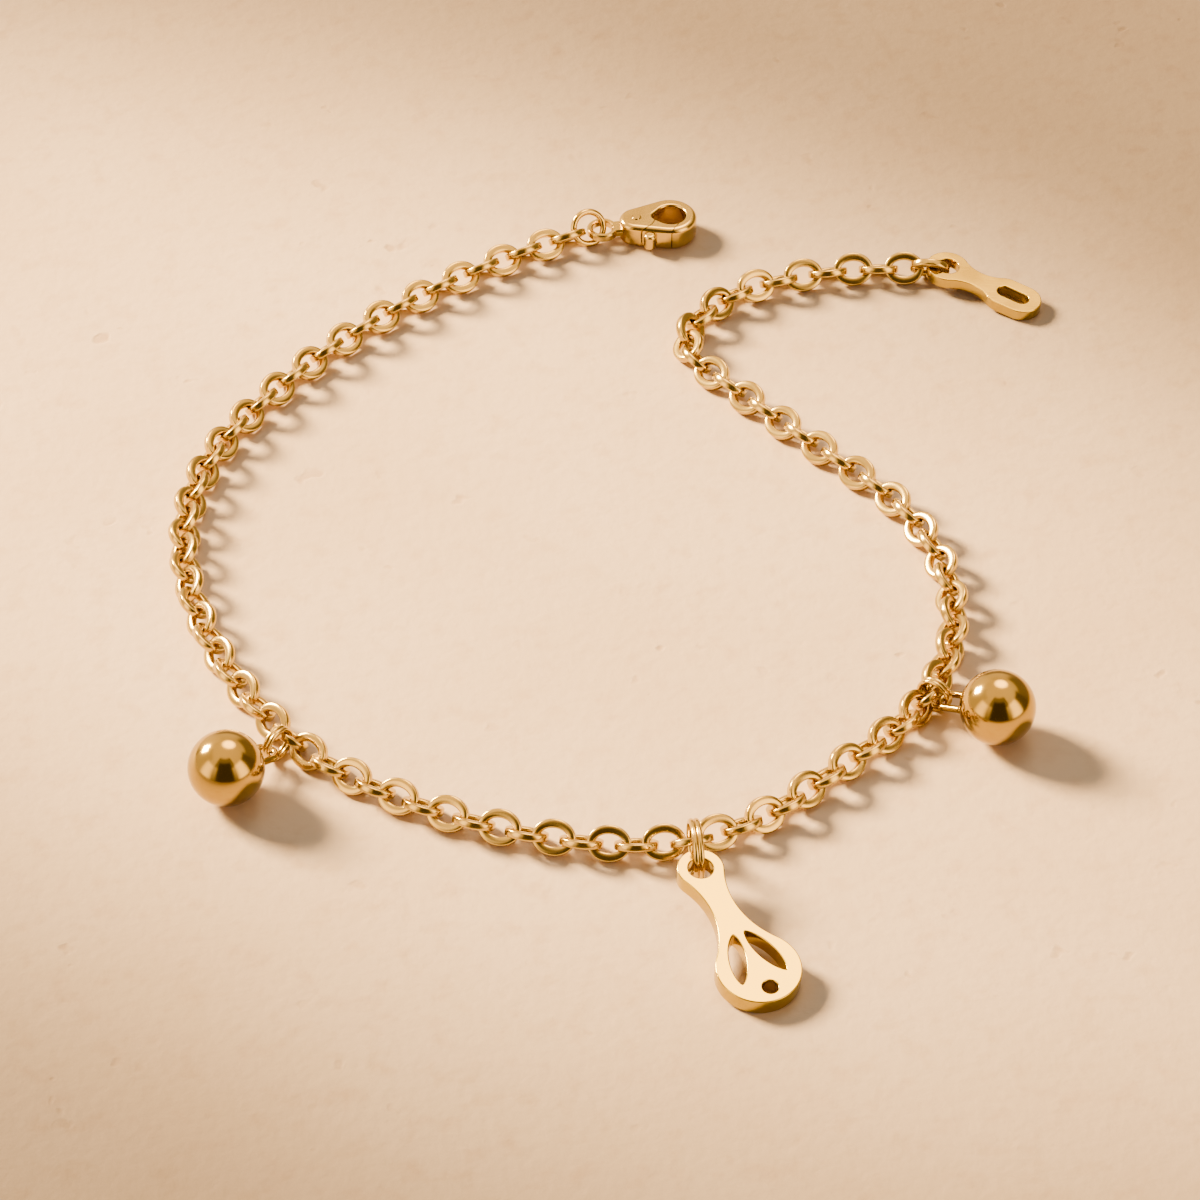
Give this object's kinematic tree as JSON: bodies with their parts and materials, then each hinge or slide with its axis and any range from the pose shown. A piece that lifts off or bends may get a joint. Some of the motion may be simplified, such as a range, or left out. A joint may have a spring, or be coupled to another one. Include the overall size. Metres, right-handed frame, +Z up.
{
  "type": "charm anklet",
  "caption": "Gold-coloured cable-chain anklet lying unclasped: lobster clasp, plate end tag, pierced plate charm and ball drops.",
  "frame": {"origin": "centre of the bounding box at the surface the anklet lies on", "axes": "+Z up, along the ankle that would go through the loop; +Y from the charm towards the clasp; +X to the side of the end tag"},
  "size_m": [0.073, 0.0956, 0.006],
  "materials": {
    "chain": "polished gold-coloured links with flat bevelled faces",
    "ring": "polished gold-coloured wire",
    "clasp": "polished gold-coloured casting",
    "ball": "mirror-polished gold-coloured sphere",
    "plate": "polished gold-coloured flat plate"
  },
  "bodies": {
    "anklet": {"chain_clasp_side": "chain", "chain_tag_side": "chain", "clasp_ring": "ring", "clasp_body": "clasp", "clasp_rivet": "clasp", "left_ball_ring": "ring", "left_ball": "ball", "right_ball_ring": "ring", "right_ball": "ball", "charm_ring": "ring", "charm": "plate", "end_tag": "plate"},
    "lever": {"clasp_lever": "clasp"}
  },
  "joints": [
    {"name": "lever_hinge", "type": "hinge", "parent": "anklet", "child": "lever", "pos_m": [0.00166, 0.04509, 0.0011], "axis": [0, 0, 1], "range_deg": [0, 25], "stiffness_Nm_per_rad": 0.002, "springref_deg": -5.73}
  ]
}
